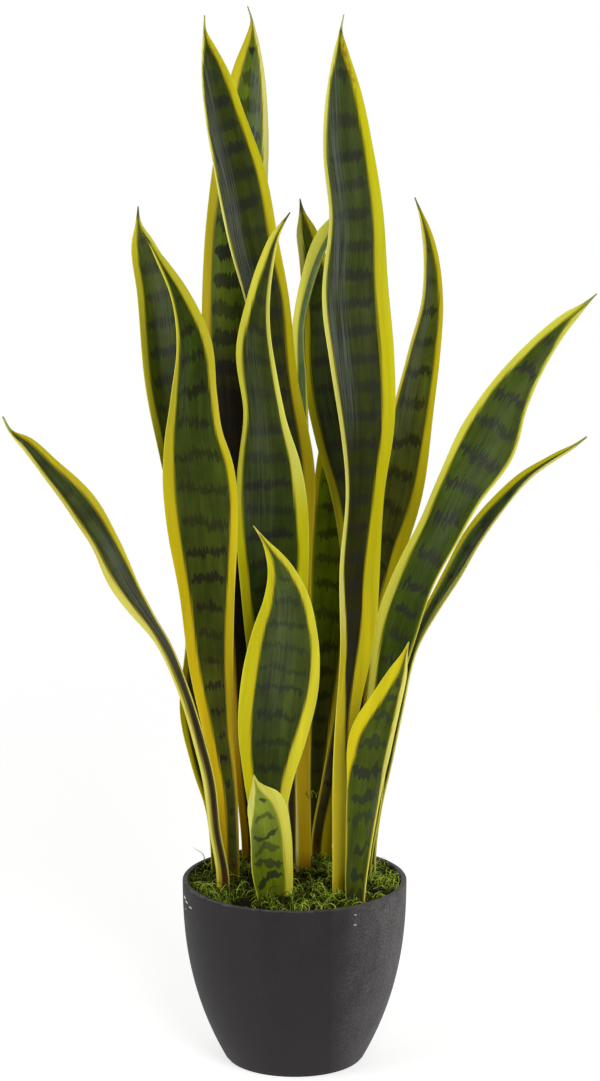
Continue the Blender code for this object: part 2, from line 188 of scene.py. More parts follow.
def charcoal_plastic():
    """Moulded plastic filled with stone powder: dry, mottled, dusty and painted lighter at the right,
    grey at the lip.
    """
    material, tree, surface = new_material("charcoal_moulded_plastic", IOR=1.46, Roughness=0.66,
                                           Specular_IOR_Level=0.35)
    place = node(tree, "TexCoord").outputs["Object"]
    spot = node(tree, "SeparateXYZ", {"Vector": place})
    stretch = (1 / CLOUD_WIDTH, 1 / CLOUD_WIDTH, 1 / CLOUD_HEIGHT)
    drawn = node(tree, "VectorMath", {0: place, 1: stretch}, operation="MULTIPLY")
    mottle = node(tree, "TexNoise", {"Vector": drawn, "Scale": 1.0, "Detail": 5, "Roughness": 0.6})
    painted = node(tree, "ValToRGB", {"Fac": mottle}, ((0.38, CHARCOAL_DARK), (0.64, CHARCOAL)))

    # Dust in the grain, nearly all on the right side, and painted light there: the pale dust also
    # makes the right side lighter, as the light falling on it would
    grit = node(tree, "TexNoise", {"Vector": place, "Scale": 1 / GRIT_WIDTH, "Detail": 2})
    dust_and_light = node(tree, "MapRange", {"Value": grit, "From Min": 0.2, "From Max": 0.75})
    lit_side = node(tree, "MapRange", {"Value": spot.outputs["X"], "From Min": LIT_SIDE_START,
                                         "From Max": RIM_RADIUS, "To Min": 0.03, "To Max": 0.95})
    cloudy = node(tree, "MapRange", {"Value": mottle, "From Min": 0.3, "From Max": 0.66,
                                     "To Min": 0.25})
    for share in (lit_side, cloudy):
        dust_and_light = node(tree, "Math", {0: dust_and_light, 1: share}, operation="MULTIPLY")

    # A lighter grey band over the top of the lip, all the way round
    wobble = node(tree, "TexNoise", {"Vector": place, "Scale": 1 / LIP_BAND_WAVE, "Detail": 4})
    raised = node(tree, "Math", {0: wobble, 1: LIP_BAND_SWING, 2: spot.outputs["Z"]},
                  operation="MULTIPLY_ADD")
    grey_lip_band = node(tree, "MapRange", {"Value": raised, "From Min": POT_HEIGHT + LIP_BAND_HEIGHTS[0],
                                   "From Max": POT_HEIGHT + LIP_BAND_HEIGHTS[1], "To Max": 0.8})

    # Each scuff is a patch of small broken marks, several times as long as it is high
    torn = node(tree, "TexNoise", {"Vector": place, "Scale": 1 / SCUFF_GRAIN, "Detail": 3,
                                   "Distortion": 1.5})
    flat = node(tree, "VectorMath", {0: place, 1: (1, 1, SCUFF_FLATNESS)}, operation="MULTIPLY")
    scuffed = 0.0
    for middle, reach in SCUFFS:
        centre = Vector(middle) * MM
        centre.z *= SCUFF_FLATNESS
        away = node(tree, "VectorMath", {0: flat, 1: centre}, operation="DISTANCE")
        near = node(tree, "MapRange", {"Value": away.outputs["Value"], "From Min": reach * MM,
                                       "From Max": 0.3 * reach * MM})
        scuffed = node(tree, "Math", {0: near, 1: scuffed}, operation="MAXIMUM")
    ragged = node(tree, "Math", {0: scuffed, 1: torn}, operation="MULTIPLY")
    scar = node(tree, "MapRange", {"Value": ragged, "From Min": 0.27, "From Max": 0.38,
                                   "To Max": 0.85})
    for share, tint in ((dust_and_light, DUST_AND_LIGHT), (grey_lip_band, LIP_GREY), (scar, SCUFF)):
        painted = node(tree, "Mix", {"Factor": share, "A": painted, "B": colour(tint)},
                       data_type="RGBA")

    rough = node(tree, "MapRange", {"Value": mottle, "From Min": 0.3, "From Max": 0.7,
                                    "To Min": 0.58, "To Max": 0.74})
    fine = node(tree, "Bump", {"Height": grit, "Strength": 0.3, "Distance": GRIT_DEPTH})
    broad = node(tree, "Bump", {"Height": mottle, "Strength": 0.25, "Distance": CLOUD_DEPTH,
                                "Normal": fine})
    feed(tree, surface, {"Base Color": painted, "Roughness": rough, "Normal": broad})
    return material


pot = turned_piece("planter", pot_profile(), POT_STEPS, charcoal_plastic())
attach(pot, "root")
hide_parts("pot")

# The soil
#
# A dark peat and bark mix that fills the pot to just under the moss. Almost nothing of it shows,
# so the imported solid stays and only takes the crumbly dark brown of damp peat.

PEAT_DARK = "#1E140C"
PEAT_LIGHT = "#4A3420"
CRUMB_WIDTH = 3.03 * MM
CRUMB_HEIGHT = 1.5 * MM


def damp_peat():
    """Milled peat with fine bark, damp: dull, nearly black, with small brown crumbs."""
    material, tree, surface = new_material("damp_peat", Roughness=0.95, IOR=1.4)
    place = node(tree, "TexCoord").outputs["Object"]
    crumb = node(tree, "TexNoise", {"Vector": place, "Scale": 1 / CRUMB_WIDTH, "Detail": 5,
                                    "Roughness": 0.7})
    tone = node(tree, "ValToRGB", {"Fac": crumb}, ((0.4, PEAT_DARK), (0.68, PEAT_LIGHT)))
    bump = node(tree, "Bump", {"Height": crumb, "Strength": 0.8, "Distance": CRUMB_HEIGHT})
    feed(tree, surface, {"Base Color": tone, "Normal": bump})
    return material


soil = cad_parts["soil"]
soil.data.materials.clear()
soil.data.materials.append(damp_peat())

# The moss
#
# Dyed preserved moss, pressed on the soil from wall to wall and teased up. It is a low tufted bed
# with thousands of curled fibres standing out of it, lime where they catch the light, green to
# brown further down, with one stray fibre over the lip and one on a leaf.

SOIL_TOP = 122 * MM
FIT = 0.3 * MM
MOSS_EDGE = 129 * MM
MOSS_CROWN = 136 * MM
WALL_BANK = 2.2 * MM
BED_ROUGHNESS = 1.6 * MM
BED_GRAIN = 3.5 * MM
MOSS_RINGS = 44
MOSS_SPOKES = 150
TUFTS = 80
TUFT_HEIGHT = (1.0 * MM, 3.0 * MM)
TUFT_RADIUS = (5 * MM, 9 * MM)
MOSS_REACH = side_radius(SOIL_TOP) - WALL - FIT
ROOT_REACH = MOSS_REACH - 1.5 * MM
ROOT_DEPTH = (0.5 * MM, 1.5 * MM)
CLUMP_WIDTH = 12 * MM
CLUMP_RAGGEDNESS = 0.15
FIBRE_SIDES = 3
FIBRE_STEPS = 14
FIBRE_CURL = 0.95
FIBRE_WANDER = 0.6
FIBRE_TAPER = 0.75
# A fibre is steered back to its own height by its distance from it in these lengths, up to a limit
STEER_LENGTH = 5 * MM
STEER_LIMIT = 0.3
FULL_LIFT = 6 * MM
# A stray fibre is drawn thicker than it is, so that it shows, and painted a lighter green, a painted
# light that keeps it from being lost in the shade
STRAY_THICKENING = 0.6
STRAY_PAINTED_LIGHT = 0.7


def moss_tufts():
    """(x, y, height, radius) of the low tufts that the bed is made of."""
    draw = random.Random(11)
    reach = RIM_RADIUS - WALL
    tufts = []
    for _ in range(TUFTS):
        out = reach * math.sqrt(draw.random())
        angle = draw.uniform(0, math.tau)
        size = draw.uniform(*TUFT_HEIGHT), draw.uniform(*TUFT_RADIUS)
        tufts.append((out * math.cos(angle), out * math.sin(angle), *size))
    return tufts


def moss_height(x, y, tufts):
    """The bed's surface: a low crown, raised by the highest tuft there, and banked at the wall."""
    out = min(1, math.hypot(x, y) / MOSS_REACH)
    crown = MOSS_EDGE + (MOSS_CROWN - MOSS_EDGE) * (1 - out**2)
    raised = max(h * math.exp(-((x - u) ** 2 + (y - v) ** 2) / r**2) for u, v, h, r in tufts)
    return crown + raised * (1 - out**6) + WALL_BANK * out**4


def moss_bed(tufts, material):
    """The matted bed under the fibres, roughened by noise, down to the soil at the wall."""
    spokes = [(math.cos(math.tau * j / MOSS_SPOKES), math.sin(math.tau * j / MOSS_SPOKES))
              for j in range(MOSS_SPOKES)]
    vertices = []
    for i in range(1, MOSS_RINGS + 1):
        radius = MOSS_REACH * i / MOSS_RINGS
        for x, y in ((radius * u, radius * v) for u, v in spokes):
            rough = BED_ROUGHNESS * noise.noise(Vector((x, y, 0)) / BED_GRAIN)
            vertices.append((x, y, moss_height(x, y, tufts) + rough))
    middle = len(vertices)
    vertices.append((0, 0, moss_height(0, 0, tufts)))
    under = len(vertices)
    vertices += [(MOSS_REACH * u, MOSS_REACH * v, SOIL_TOP + FIT) for u, v in spokes]
    faces = [list(range(under + MOSS_SPOKES - 1, under - 1, -1))]
    for j in range(MOSS_SPOKES):
        k = (j + 1) % MOSS_SPOKES
        faces.append((middle, j, k))
        for i in range(MOSS_RINGS - 1):
            low, high = i * MOSS_SPOKES, (i + 1) * MOSS_SPOKES
            faces.append((low + j, high + j, high + k, low + k))
        last = (MOSS_RINGS - 1) * MOSS_SPOKES
        faces.append((last + j, under + j, under + k, last + k))
    return new_piece("moss_bed", vertices, faces, material)


def any_way(draw):
    """An unscaled direction, as likely to point one way as another."""
    return Vector((draw.gauss(0, 1), draw.gauss(0, 1), draw.gauss(0, 1)))


def fibre_path(draw, start, length, stand, curl):
    """A curled fibre as points, which wanders round a height of its own over the bed."""
    heading = Vector((draw.gauss(0, 1), draw.gauss(0, 1), 0.8)).normalized()
    axis = any_way(draw).normalized()
    points = [Vector(start)]
    for _ in range(FIBRE_STEPS):
        axis = (axis + FIBRE_WANDER * any_way(draw)).normalized()
        turn = curl * draw.uniform(-0.5, 1.0)
        heading = heading * math.cos(turn) + axis.cross(heading) * math.sin(turn)
        steer = (start[2] + stand - points[-1].z) / STEER_LENGTH
        heading.z += max(-STEER_LIMIT, min(STEER_LIMIT, steer))
        heading.normalize()
        point = points[-1] + heading * (length / FIBRE_STEPS)
        reach = math.hypot(point.x, point.y)
        if reach > MOSS_REACH:
            point.xy *= MOSS_REACH / reach
        points.append(point)
    return points


def fibre_tube(vertices, faces, points, radius):
    """Adds a thin tube along the points, tapered to its end."""
    first = len(vertices)
    side = Vector((0.3, 0.5, 0.8)).normalized()
    for i, point in enumerate(points):
        ahead = points[min(i + 1, len(points) - 1)] - points[max(i - 1, 0)]
        side = (side - side.project(ahead)).normalized()
        other = ahead.normalized().cross(side)
        size = radius * (1 - FIBRE_TAPER * (i / (len(points) - 1)) ** 2)
        for k in range(FIBRE_SIDES):
            angle = math.tau * k / FIBRE_SIDES
            vertices.append(point + size * (math.cos(angle) * side + math.sin(angle) * other))
    for i in range(len(points) - 1):
        for k in range(FIBRE_SIDES):
            a = first + i * FIBRE_SIDES + k
            b = first + i * FIBRE_SIDES + (k + 1) % FIBRE_SIDES
            faces.append((a, b, b + FIBRE_SIDES, a + FIBRE_SIDES))
    faces.append([first + k for k in reversed(range(FIBRE_SIDES))])
    faces.append([len(vertices) - FIBRE_SIDES + k for k in range(FIBRE_SIDES)])


def set_marks(mesh, marks):
    """Stores a number, or for the blade's own place a vector, with each of a mesh's points."""
    for name, values in marks.items():
        kind, field = ("FLOAT_VECTOR", "vector") if name == "blade" else ("FLOAT", "value")
        data = mesh.attributes.new(name, kind, "POINT").data
        data.foreach_set(field, np.array(values, np.float32).ravel())


def moss_fibres(name, material, seed, count, lengths, radius, stands, sparse, shades, strays=()):
    """Many fibres rooted in the bed, thinned out between the clumps, each in a shade of its own.

    Their lengths and the heights that they stand at are in millimetres.
    """
    draw = random.Random(seed)
    tufts = moss_tufts()
    paths = []
    while len(paths) < count:
        out = ROOT_REACH * math.sqrt(draw.random())
        angle = draw.uniform(0, math.tau)
        x, y = out * math.cos(angle), out * math.sin(angle)
        clump = noise.noise(Vector((x, y, seed * MM)) / CLUMP_WIDTH)
        if clump < sparse + draw.uniform(-CLUMP_RAGGEDNESS, CLUMP_RAGGEDNESS):
            continue
        start = (x, y, moss_height(x, y, tufts) - draw.uniform(*ROOT_DEPTH))
        stand = draw.uniform(*stands) * MM * (0.7 + 1.2 * max(-0.3, clump))
        curl = FIBRE_CURL * draw.uniform(0.3, 1.3)
        paths.append(fibre_path(draw, start, draw.uniform(*lengths) * MM, stand, curl))
    vertices, faces, shade, lift = [], [], [], []
    for number, points in enumerate((*paths, *strays)):
        stray = number >= count
        thickness = draw.uniform(0.5, 1.3) + STRAY_THICKENING * stray
        fibre_tube(vertices, faces, points, radius * thickness)
        # Painted light and shade: the moss is painted browner and darker in the middle, where the
        # leaves shade it, lighter at the left, lime at the right where most light falls, and the
        # strays lighter still
        rightward = points[0].x / MOSS_REACH
        painted_light = 0.4 * abs(rightward) + 0.3 * rightward - 0.2 + STRAY_PAINTED_LIGHT * stray
        shade += [draw.uniform(*shades) + painted_light] * FIBRE_SIDES * len(points)
        for point in points:
            lift += [(point.z - points[0].z) / FULL_LIFT] * FIBRE_SIDES
    piece = new_piece(name, vertices, faces, material)
    set_marks(piece.data, {"shade": shade, "lift": lift})
    return piece


PATCH_WIDTH = 22.22 * MM
MAT_TONES = ("#120B04", "#221606", "#2E240A", "#38380E")
DEEP_TONES = ("#221606", "#33280A", "#3E4A0E", "#5C741C")
LIME_TONES = ("#3E300E", "#4C5A12", "#7A9826", "#BACE4C")


def dyed_moss(name, tones):
    """Dry plant fibre dyed green: matt, each fibre a tone of its own, with a painted shade down in
    the bed.
    """
    material, tree, surface = new_material(name, Roughness=0.75, IOR=1.45,
                                           Specular_IOR_Level=0.15)
    place = node(tree, "TexCoord").outputs["Object"]
    patch = node(tree, "TexNoise", {"Vector": place, "Scale": 1 / PATCH_WIDTH, "Detail": 3})
    shade = node(tree, "Attribute", attribute_name="shade").outputs["Fac"]
    mixed = node(tree, "Math", {0: patch, 1: 1.3, 2: shade}, operation="MULTIPLY_ADD")
    spread = node(tree, "MapRange", {"Value": mixed, "From Min": 0.4, "From Max": 1.6})
    stops = [(i / (len(tones) - 1), text) for i, text in enumerate(tones)]
    tone = node(tree, "ValToRGB", {"Fac": spread}, stops)
    # Painted shade: the lower a point stands in the bed, where the fibres over it shade it, the
    # darker it is painted
    lift = node(tree, "Attribute", attribute_name="lift").outputs["Fac"]
    painted_bed_shade = node(tree, "MapRange", {"Value": lift, "To Min": 0.55, "To Max": 1.2})
    final = node(tree, "Mix", {"Factor": 1.0, "A": tone, "B": painted_bed_shade}, data_type="RGBA",
                 blend_type="MULTIPLY")
    feed(tree, surface, {"Base Color": final})
    return material


# The stray fibre that stands up over the lip at the back left
LIP_STRAY = [Vector((-62 - 1.6 * i - 2 * math.sin(0.9 * i), 34 + i, 134 + 1.7 * i)) * MM
             for i in range(9)]
# The stray fibre caught on the right edge of the tall leaning leaf, 60 mm over the moss
LEAF_STRAY = [Vector((8 + 0.65 * i + math.sin(1.3 * i), 16.5, 196 + 3 * math.sin(0.9 * i))) * MM
              for i in range(16)]

bed = moss_bed(moss_tufts(), dyed_moss("moss_mat", MAT_TONES))
deep = moss_fibres("moss_fibres_deep", dyed_moss("moss_dyed_green", DEEP_TONES), seed=3, count=2200,
                   lengths=(6, 22), radius=0.34 * MM, stands=(0.2, 3), sparse=-0.3,
                   shades=(-0.1, 0.7))
bright = moss_fibres("moss_fibres_bright", dyed_moss("moss_dyed_lime", LIME_TONES), seed=5,
                     count=1900, lengths=(7, 22), radius=0.32 * MM, stands=(0.8, 5.5), sparse=0.0,
                     shades=(0.0, 1.1), strays=(LIP_STRAY, LEAF_STRAY))
for piece in (bed, deep, bright):
    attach(piece, "root")
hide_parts("moss")

# The leaves
#
# Sixteen strap blades, moulded with a satin skin and sprayed in three colours: yellow margins with
# a soft inner edge, a green middle with fine lengthwise streaks, and dark toothed cross-bands.
# Each stands on a straight foot in its own slot and narrows to a dry spike.

LEAF_FOOT = 98 * MM
BLADE_THICKNESS = 2.0 * MM
TIP_THICKNESS = 0.7 * MM
TIP_NARROWING = 0.5
TIP_TAPER = 26 * MM
EDGE_FULLNESS = 7
ROW_LENGTH = 5 * MM
STRIPS = 24
BASE_CUP = 0.16
BASE_LENGTH = 100 * MM
WAVE_LENGTH = 165 * MM
WAVE_OFFSET = 2.0
FULL_WIDTH = 40 * MM
# Where the photo was taken from
EYE = Vector((0.004, -2.8, 1.01))
# The places across the blade of its front face's points, -1 to 1, and of a whole ring's points,
# which go over the front from the left edge and then over the back again
FRONT_SIDES = [math.sin(math.pi / 2 * (2 * i / STRIPS - 1)) for i in range(STRIPS + 1)]
RING_SIDES = FRONT_SIDES + FRONT_SIDES[-2:0:-1]

# Painted highlights: the paler margins where they catch the light, and the pale line along the edges
HIGHLIGHT_CREAM = "#E6E890"
EDGE_HIGHLIGHT = "#E6E060"
# The grey of the sheen: a painted reflection of the light, with a little of the skin's greyish bloom
SHEEN_AND_BLOOM_GREY = "#626862"
OLD_GOLD = "#B8960A"
RUST = "#8A5208"
DEAD_BROWN = "#4A3208"
MOSS_STAIN = "#6A3A0C"

# Each leaf's cup is the depth of its hollow as a share of its width, below zero where the hollow is
# at its back. The wave is how far its edges ripple in millimetres, and the phase is where the
# ripples start, in radians. The stations are height, place to the right, place to the back and
# width in millimetres, and turn in degrees.
# The margins are a height, and the left and right margins as shares of the blade's width as the
# front view shows it. The greens and the golds are the colours near the base and near the tip, and
# the greening is the share of its length over which one green becomes the other; the darker, browner
# greens and deeper golds low down are partly painted shade, for the shade deep in the clump, and some
# golds of leaves in shade are painted lighter as painted light. The margins' paleness is a painted
# highlight where they catch the light: how pale the left and right margins are, above a height. The
# bands are their colour, their heights, their strength near the base and near the tip, half their
# thickness, their blur, the width and reach of their teeth, and the reach of their bends. The sheen
# is a painted reflection of the light, with a little of the skin's greyish bloom, in a silvery strip:
# its middle from -1 to 1 across, its strength, and its lowest and highest point. The tip is its
# spike's colour and length, and how rusty the blade is under it. The stain is how brown the moss has
# made the foot, and the pleats are how far its lengthwise folds stand out in millimetres.
LEAVES = {
    "leaf_tall_leaning": {
        "cup": 0.13, "wave": 2.0, "phase": 0.5,
        "stations": (
            (139, 4, 15, 16, 10), (223, 2, 16, 20, 18), (305, 0, 18, 25, 26),
            (373, -1, 21, 33, 30), (432, -3, 23, 40, 31), (495, -12, 22, 38, 32),
            (560, -19, 20, 38, 34), (605, -29, 18, 40, 36), (654, -38, 16, 42, 36),
            (695, -49, 12, 33, 30), (726, -56, 8, 22, 25), (748, -61, 5, 9, 20),
            (758, -63, 3, 3.5, 20), (769, -63, 0, 1.6, 20),
        ),
        "margins": ((136, 0.05, 0.7), (240, 0.05, 0.55), (330, 0.05, 0.33), (400, 0.04, 0.24),
                    (480, 0.03, 0.19), (560, 0.03, 0.15), (610, 0.04, 0.16), (690, 0.04, 0.16),
                    (735, 0.06, 0.21), (752, 0.2, 0.4)),
        "greens": ("#2A2406", "#343D0E"), "golds": ("#D0AC10", "#CFCC12"), "margin_highlight": (1.0, 0.0, 0),
        "bands": ("#22221F", (*range(372, 593, 20), 613, 633, 654, 673, 689, 707, 725), 0.7, 0.85,
                  4.2, 1.7, 2.6, 2.0, 1.0),
        "sheen": (-0.6, 0.85, 450, 750), "tip": ("#A6AC4A", 10, 0.35), "stain": 0.7,
    },
    "leaf_tall_back": {
        "cup": -0.10, "wave": 2.0, "phase": 2.2,
        "stations": (
            (142, -31, 46, 17, 5), (213, -35, 49, 21, 0), (289, -37, 53, 26, -5),
            (379, -38, 58, 37, -8), (453, -41, 63, 43, -10), (543, -46, 70, 45, -12),
            (603, -44, 75, 45, -14), (646, -40, 79, 42, -16), (690, -36, 83, 35, -16),
            (725, -33, 86, 23, -16), (747, -31, 88, 9, -16), (758, -31, 89, 3, -16),
            (768, -34, 90, 1.6, -16),
        ),
        "margins": ((136, 0.27, 0.17), (400, 0.14, 0.1), (545, 0.14, 0.1), (610, 0.14, 0.1),
                    (680, 0.2, 0.11), (733, 0.29, 0.12), (755, 0.45, 0.28)),
        "greens": ("#1C1403", "#4F6002"), "greening": (0.55, 0.68),
        "golds": ("#B88E06", "#C8C00C"), "margin_highlight": (0.0, 0.8, 540),
        "bands": ("#14130A", tuple(range(150, 740, 21)), 0.9, 1.0, 5.6, 1.0, 2.8, 2.6, 1.7),
        "sheen": (0.68, 1.0, 560, 745), "tip": ("#8F944E", 11, 0.15), "stain": 0.3,
    },
    "leaf_tall_right": {
        "cup": 0.13, "wave": 2.0, "phase": 3.6,
        "stations": (
            (136, 35, -36, 18, 35), (185, 35, -35, 18, 35), (255, 37, -32, 20, 36),
            (324, 45, -27, 33, 40), (373, 47, -23, 38, 45), (425, 51, -18, 39, 42),
            (475, 52, -13, 45, 28), (528, 48, -7, 49, 22), (568, 44, -2, 51, 20),
            (627, 44, 5, 42, 18), (673, 38, 10, 37, 18), (715, 35, 14, 25, 18),
            (747, 33, 17, 8.5, 18), (757, 33, 18, 3, 18), (768, 35, 19, 1.6, 18),
        ),
        "margins": ((136, 0.95, 0.04), (185, 0.9, 0.05), (250, 0.5, 0.35), (300, 0.2, 0.45),
                    (373, 0.1, 0.37), (425, 0.08, 0.28), (475, 0.07, 0.22), (568, 0.06, 0.19),
                    (627, 0.06, 0.19), (673, 0.07, 0.16), (725, 0.09, 0.19), (750, 0.25, 0.45)),
        "greens": ("#201E04", "#384412"), "golds": ("#C4B008", "#CBCA10"), "margin_highlight": (0.6, 0.0, 330),
        "bands": ("#20201D", (340, 362, 384, *range(405, 606, 20), 628, 649, 668, 694, 727), 0.5,
                  0.9, 4.0, 1.6, 2.6, 2.0, 1.0),
        "sheen": (-0.6, 0.75, 450, 745), "tip": ("#B2B64C", 10, 1.0), "stain": 0.3,
    },
    "leaf_centre": {
        "cup": 0.12, "wave": 2.0, "phase": 1.2,
        "stations": (
            (140, -17, 4, 15, 5), (218, -15, 2, 21, 5), (272, -14, 0, 32, 5),
            (332, -14, -3, 46, 8), (400, -16, -5, 53, 6), (448, -18, -8, 48, -14),
            (486, -22, -11, 38, -38), (533, -28, -15, 34, -43), (563, -26, -19, 25, -45),
            (596, -20, -24, 16, -45), (618, -13, -27, 8, -45), (634, -3, -30, 1.6, -45),
        ),
        "margins": ((136, 0.25, 0.25), (250, 0.2, 0.2), (310, 0.17, 0.17), (384, 0.11, 0.14),
                    (426, 0.08, 0.17), (463, 0.07, 0.16), (499, 0.11, 0.12), (535, 0.16, 0.1),
                    (559, 0.24, 0.13), (593, 0.38, 0.14), (615, 0.48, 0.18)),
        "greens": ("#2B390A", "#303A08"), "golds": ("#C8BE08", "#CCCA12"), "margin_highlight": (0.2, 0.4, 430),
        "bands": ("#1E1E16", (290, 311, 332, 353, 374, 395, 414, 433, 453, 473, 500, 526, 548),
                  0.9, 0.85, 3.6, 1.5, 2.4, 2.2, 1.2),
        "sheen": (-0.35, 0.25, 360, 560), "tip": ("#5A5A1C", 9, 0.2), "stain": 0.2,
    },
    "leaf_left": {
        "cup": 0.12, "wave": 2.0, "phase": 4.0,
        "stations": (
            (143, -49, -3, 17, 0), (198, -50, -4, 17, -5), (246, -55, -6, 23, -12),
            (294, -60, -9, 32, -16), (351, -63, -12, 43, -18), (394, -66, -14, 52, -15),
            (447, -69, -17, 51, 0), (470, -72, -18, 44, 15), (500, -72, -21, 38, 32),
            (538, -71, -24, 32, 46), (576, -81, -28, 18, 50), (602, -95, -31, 8, 50),
            (620, -106, -34, 1.6, 50),
        ),
        "margins": ((136, 0.5, 0.03), (200, 0.42, 0.06), (246, 0.28, 0.2), (331, 0.19, 0.16),
                    (370, 0.17, 0.12), (420, 0.16, 0.09), (470, 0.15, 0.1), (500, 0.13, 0.12),
                    (532, 0.07, 0.19), (559, 0.09, 0.3), (580, 0.1, 0.42), (600, 0.18, 0.58)),
        "greens": ("#363C04", "#31400C"), "golds": ("#C8A206", "#CCC80E"), "margin_highlight": (0.1, 0.1, 460),
        "bands": ("#1C180C", (190, 209, 228, 246, 265, 284, 303, 322, 343, 365, 383, 406, 432, 456,
                              480, 505, 530), 1.0, 0.8, 3.0, 0.6, 2.5, 3.0, 1.5),
        "sheen": (-0.5, 0.25, 460, 560), "tip": ("#56561A", 9, 0.1), "stain": 0.2,
    },
    "leaf_left_back": {
        "cup": 0.12, "wave": 2.5, "phase": 0.0,
        "stations": (
            (140, -55, 20, 14, 15), (187, -58, 21, 18, 20), (219, -64, 22, 27, 22),
            (254, -69, 25, 33, 20), (310, -65, 30, 31, 20), (376, -71, 36, 34, 22),
            (445, -81, 44, 37, 25), (507, -93, 54, 37, 25), (566, -101, 64, 32, 22),
            (598, -111, 70, 17, 18), (614, -114, 74, 5, 15), (624, -114, 76, 1.6, 15),
        ),
        "margins": ((136, 0.15, 0.2), (187, 0.12, 0.15), (219, 0.1, 0.12), (300, 0.14, 0.12),
                    (445, 0.13, 0.12), (540, 0.13, 0.12), (585, 0.18, 0.14), (605, 0.3, 0.25)),
        "greens": ("#31380A", "#404C0E"), "golds": ("#C8C00C", "#CAC612"), "margin_highlight": (0.1, 0.2, 450),
        "bands": ("#28261E", tuple(range(160, 610, 20)), 0.75, 0.8, 3.6, 1.6, 2.6, 2.0, 1.2),
        "sheen": (0.2, 0.35, 400, 590), "tip": ("#5A5A28", 9, 0.1), "stain": 0.2,
    },
    "leaf_arching_left": {
        "cup": 0.16, "wave": 1.0, "phase": 1.0,
        "stations": (
            (141, -52, -28, 10, -20), (183, -58, -30, 11, -40), (220, -62, -32, 12, -40),
            (251, -69, -35, 13, -42), (289, -80, -38, 14, -45), (326, -95, -42, 17, -45),
            (348, -109, -46, 23, -42), (367, -120, -48, 24, -30), (402, -135, -50, 20, 10),
            (431, -152, -52, 24, 42), (455, -172, -54, 18, 46), (473, -188, -55, 12, 45),
            (483, -200, -56, 4, 45), (493, -205, -56, 1.6, 45),
        ),
        "margins": ((136, 0.36, 0.0), (170, 0.3, 0.0), (320, 0.26, 0.02), (346, 0.3, 0.04),
                    (371, 0.24, 0.06), (395, 0.13, 0.16), (430, 0.12, 0.22), (462, 0.15, 0.28),
                    (480, 0.26, 0.34)),
        "greens": ("#2A1E08", "#3A451E"), "golds": ("#C9C23A", "#C8B90E"), "margin_highlight": (0.4, 0.0, 160),
        "bands": ("#1F2016", tuple(range(160, 480, 20)), 0.2, 0.55, 3.0, 1.6, 2.6, 2.0, 1.0),
        "sheen": (0.1, 0.5, 280, 420), "tip": ("#A6AC4A", 12, 0.1), "stain": 0.3, "pleats": 0.6,
    },
    "leaf_short_front": {
        "cup": 0.12, "wave": 1.5, "phase": 2.8,
        "stations": (
            (141, -18, -20, 17, 0), (180, -19, -22, 23, 0), (219, -19, -25, 36, 0),
            (253, -16, -28, 50, 0), (296, -10, -32, 56, 0), (330, -7, -36, 48, 3),
            (358, -6, -40, 33, 6), (379, -10, -43, 19, 8), (401, -21, -47, 5, 8),
            (413, -29, -50, 1.6, 8),
        ),
        "margins": ((136, 0.28, 0.22), (230, 0.18, 0.19), (253, 0.18, 0.16), (300, 0.18, 0.11),
                    (330, 0.18, 0.11), (358, 0.19, 0.15), (376, 0.23, 0.22), (390, 0.33, 0.33)),
        "greens": ("#2D370C", "#3C4816"), "golds": ("#CABE0C", "#CEC80E"), "margin_highlight": (0.0, 0.08, 0),
        "bands": ("#1E2416", (173, 191, 209, 227, 247, 267, 288, 301, 318, 336, 354), 1.0, 0.6,
                  2.3, 0.8, 2.6, 2.2, 2.0),
        "sheen": (-0.1, 0.2, 240, 380), "tip": ("#C6C452", 7, 0.15), "stain": 0.1,
    },
    "leaf_smallest": {
        "cup": 0.17, "wave": 0.8, "phase": 0.0,
        "stations": (
            (135, -14, -46, 27, 22), (162, -16, -50, 33, 26), (186, -17, -54, 33, 28),
            (206, -20, -58, 31, 28), (218, -25, -60, 24, 28), (227, -28, -61, 9, 28),
            (233, -29, -62, 1.6, 28),
        ),
        "margins": ((130, 0.0, 0.2), (150, 0.0, 0.19), (181, 0.0, 0.22), (195, 0.03, 0.27),
                    (208, 0.15, 0.33), (220, 0.34, 0.44)),
        "greens": ("#5C6A0C", "#788628"), "golds": ("#CCC420", "#D0CE4A"), "margin_highlight": (0.6, 0.15, 0),
        "bands": ("#27301A", (148, 163, 175, 187, 197, 208), 1.0, 1.0, 2.6, 0.4, 7.0, 1.8, 9.0),
        "sheen": (-0.95, 0.45, 150, 215), "tip": ("#D2D060", 3, 0.0), "stain": 0.0,
    },
    "leaf_short_right": {
        "cup": 0.13, "wave": 1.2, "phase": 1.5,
        "stations": (
            (137, 44, -50, 15, -20), (174, 46, -53, 20, -28), (220, 50, -57, 29, -34),
            (256, 54, -61, 37, -34), (290, 66, -66, 24, -34), (314, 75, -70, 13, -34),
            (334, 81, -73, 1.6, -34),
        ),
        "margins": ((136, 0.0, 0.05), (215, 0.0, 0.04), (228, 0.05, 0.05), (242, 0.19, 0.08),
                    (256, 0.23, 0.09), (272, 0.3, 0.1), (290, 0.38, 0.12), (310, 0.5, 0.2)),
        "greens": ("#3A4606", "#3C480A"), "golds": ("#CCB80A", "#CEC20E"), "margin_highlight": (0.0, 0.6, 0),
        "bands": ("#232B1D", (155, 176, 200, 215, 236, 256, 273, 290), 1.0, 1.0, 3.6, 0.6, 8.5,
                  4.2, 9.0),
        "sheen": (0.85, 0.4, 150, 250), "tip": ("#B8B84A", 5, 0.1), "stain": 0.0,
    },
    "leaf_centre_back": {
        "cup": 0.12, "wave": 1.8, "phase": 5.0,
        "stations": (
            (141, 39, 26, 13, 0), (218, 43, 29, 17, 6), (293, 46, 34, 22, 6),
